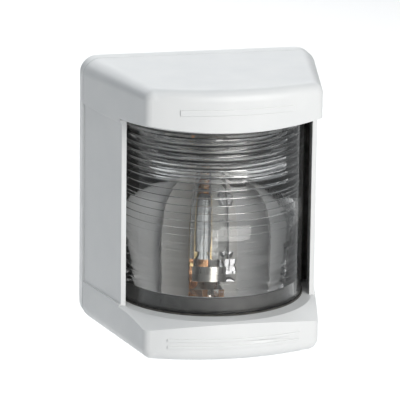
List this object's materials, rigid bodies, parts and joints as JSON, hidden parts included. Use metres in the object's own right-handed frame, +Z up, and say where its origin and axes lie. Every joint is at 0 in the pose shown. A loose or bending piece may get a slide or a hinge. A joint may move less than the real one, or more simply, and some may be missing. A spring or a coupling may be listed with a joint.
{
  "type": "boat navigation light",
  "caption": "Bulkhead stern light: white housing with two caps, ribbed half-round clear lens, upright festoon bulb on sprung contacts, and a slotted back plate with a cable entry.",
  "frame": {"origin": "centre of the back plate's mounting face, the rear_face mount", "axes": "+X to the right of someone facing the lens, +Y into the bulkhead, +Z up, so the lens looks along -Y"},
  "size_m": [0.0688, 0.0525, 0.078],
  "materials": {
    "white_plastic": "satin moulded, ultraviolet-stable white",
    "lens_clear": "clear moulded polycarbonate, polished",
    "black_rubber": "matt extruded rubber",
    "black_foam": "closed-cell foam",
    "holder_plastic": "matt heat-resistant moulding",
    "contact_bronze": "stamped phosphor bronze, slightly toned",
    "brass": "turned brass",
    "stainless": "bright stainless steel",
    "bulb_glass": "clear blown glass",
    "bulb_metal": "nickel-plated end caps",
    "tungsten": "dark drawn wire"
  },
  "bodies": {
    "back": {"back_plate": "white_plastic", "rear_gasket": "black_foam", "cover_seal": "black_rubber", "cable_grommet": "black_rubber", "lampholder": "holder_plastic", "holder_screws": "stainless", "upper_contact": "contact_bronze", "lower_contact": "contact_bronze", "contact_rivets": "brass", "terminal_nuts": "brass"},
    "cover": {"housing": "white_plastic", "cover_screw_insert": "brass", "lens": "lens_clear", "lens_seal_upper": "black_rubber", "lens_seal_lower": "black_rubber", "lens_side_seals": "black_rubber", "lens_frame": "white_plastic", "lens_frame_screws": "stainless"},
    "cover_washer": {"cover_screw_washer": "black_rubber"},
    "cover_screw": {"cover_screw": "stainless"},
    "upper_leaf": {"upper_contact_leaf": "contact_bronze"},
    "lower_leaf": {"lower_contact_leaf": "contact_bronze"},
    "bulb": {"bulb_glass": "bulb_glass", "bulb_cap_upper": "bulb_metal", "bulb_cap_lower": "bulb_metal", "bulb_filament": "tungsten", "bulb_lead_wires": "tungsten"},
    "upper_clamp": {"upper_terminal_clamp": "brass"},
    "upper_terminal": {"upper_terminal_screw": "stainless"},
    "lower_clamp": {"lower_terminal_clamp": "brass"},
    "lower_terminal": {"lower_terminal_screw": "stainless"}
  },
  "joints": [
    {"name": "cover_pull_off", "type": "slide", "parent": "back", "child": "cover", "axis": [0, -1, 0], "range_m": [0, 0.045]},
    {"name": "cover_screw_back_out", "type": "slide", "parent": "cover", "child": "cover_washer", "axis": [0, 0, -1], "range_m": [0, 0.0021]},
    {"name": "cover_screw_turn", "type": "hinge", "parent": "cover_washer", "child": "cover_screw", "pos_m": [0, -0.02, -0.0369], "axis": [0, 0, -1], "range_deg": [0, 1080]},
    {"name": "upper_leaf_flex", "type": "hinge", "parent": "back", "child": "upper_leaf", "pos_m": [0, -0.0078, 0.02025], "axis": [-1, 0, 0], "range_deg": [0, 5], "stiffness_Nm_per_rad": 0.3, "springref_deg": -2.86},
    {"name": "lower_leaf_flex", "type": "hinge", "parent": "back", "child": "lower_leaf", "pos_m": [0, -0.0078, -0.01875], "axis": [1, 0, 0], "range_deg": [0, 5], "stiffness_Nm_per_rad": 0.3, "springref_deg": -2.86},
    {"name": "bulb_draw_out", "type": "slide", "parent": "back", "child": "bulb", "axis": [0, -1, 0], "range_m": [0, 0.015]},
    {"name": "upper_clamp_lift", "type": "slide", "parent": "back", "child": "upper_clamp", "axis": [0, -1, 0], "range_m": [0, 0.001]},
    {"name": "upper_terminal_turn", "type": "hinge", "parent": "upper_clamp", "child": "upper_terminal", "pos_m": [0, -0.0094, 0.00975], "axis": [0, -1, 0], "range_deg": [0, 720]},
    {"name": "lower_clamp_lift", "type": "slide", "parent": "back", "child": "lower_clamp", "axis": [0, -1, 0], "range_m": [0, 0.001]},
    {"name": "lower_terminal_turn", "type": "hinge", "parent": "lower_clamp", "child": "lower_terminal", "pos_m": [0, -0.0094, -0.00825], "axis": [0, -1, 0], "range_deg": [0, 720]}
  ],
  "couplings": [
    {"joint": "cover_screw_turn", "follows": "cover_screw_back_out", "rad_per_m": 8976},
    {"joint": "upper_terminal_turn", "follows": "upper_clamp_lift", "rad_per_m": 12566},
    {"joint": "lower_terminal_turn", "follows": "lower_clamp_lift", "rad_per_m": 12566}
  ]
}
